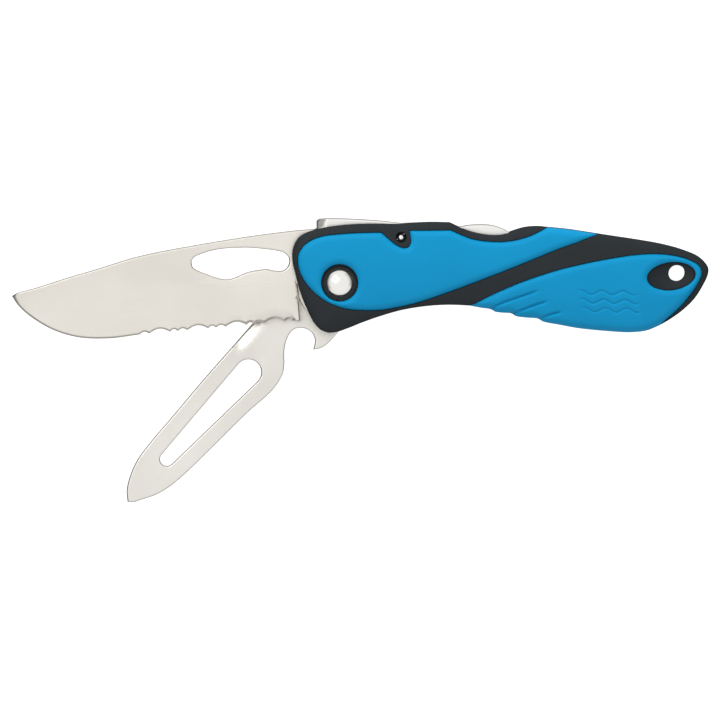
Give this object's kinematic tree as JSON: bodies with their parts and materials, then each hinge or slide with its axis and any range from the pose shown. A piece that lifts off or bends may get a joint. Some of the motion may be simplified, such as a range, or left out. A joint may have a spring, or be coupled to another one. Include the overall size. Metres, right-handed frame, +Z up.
{
  "type": "folding rigging knife",
  "caption": "Folding rigging knife with a part-serrated locking blade, a slotted shackle key with a bottle-opener hook and a two-material grip.",
  "frame": {"origin": "centre of the knife's box, on the plane that the underside grip pads rest on", "axes": "+X towards the tail of the handle, +Y towards the spine, +Z up through the thickness with the knife lying flat"},
  "size_m": [0.1844, 0.0752, 0.0164],
  "materials": {
    "satin_steel": "satin stainless steel, fine lengthwise grain",
    "liner_steel": "tumbled stainless sheet",
    "polished_steel": "polished stainless steel",
    "spring_steel": "dull hardened steel",
    "bronze": "plain phosphor bronze",
    "black_nylon": "fine moulded texture, glass-filled nylon",
    "blue_grip": "matt soft-touch grip"
  },
  "bodies": {
    "handle": {"top_scale": "black_nylon", "top_front_pad": "blue_grip", "top_tail_pad": "blue_grip", "top_liner": "liner_steel", "top_pivot_screw": "polished_steel", "blade_spacer": "black_nylon", "bottom_scale": "black_nylon", "bottom_front_pad": "blue_grip", "bottom_tail_pad": "blue_grip", "bottom_liner": "liner_steel", "bottom_pivot_screw": "polished_steel", "key_spacer": "black_nylon", "divider_plate": "liner_steel", "lever_spring": "spring_steel", "lever_pin": "polished_steel", "pivot_barrel": "spring_steel", "blade_inner_washer": "bronze", "blade_outer_washer": "bronze", "key_inner_washer": "bronze", "key_outer_washer": "bronze", "front_rivet": "spring_steel", "tail_rivet": "spring_steel"},
    "blade": {"main_blade": "satin_steel"},
    "key": {"shackle_key": "satin_steel"},
    "lever": {"lock_lever": "satin_steel"}
  },
  "joints": [
    {"name": "blade_hinge", "type": "hinge", "parent": "handle", "child": "blade", "pos_m": [-0.00541, 0.02067, 0.0082], "axis": [0, 0, 1], "range_deg": [0, 174]},
    {"name": "key_hinge", "type": "hinge", "parent": "handle", "child": "key", "pos_m": [-0.00541, 0.02067, 0.0082], "axis": [0, 0, 1], "range_deg": [-46, 135.9]},
    {"name": "lever_hinge", "type": "hinge", "parent": "handle", "child": "lever", "pos_m": [0.01089, 0.03267, 0.0082], "axis": [0, 0, 1], "range_deg": [-1.6, 0], "stiffness_Nm_per_rad": 1, "springref_deg": 5.73}
  ]
}
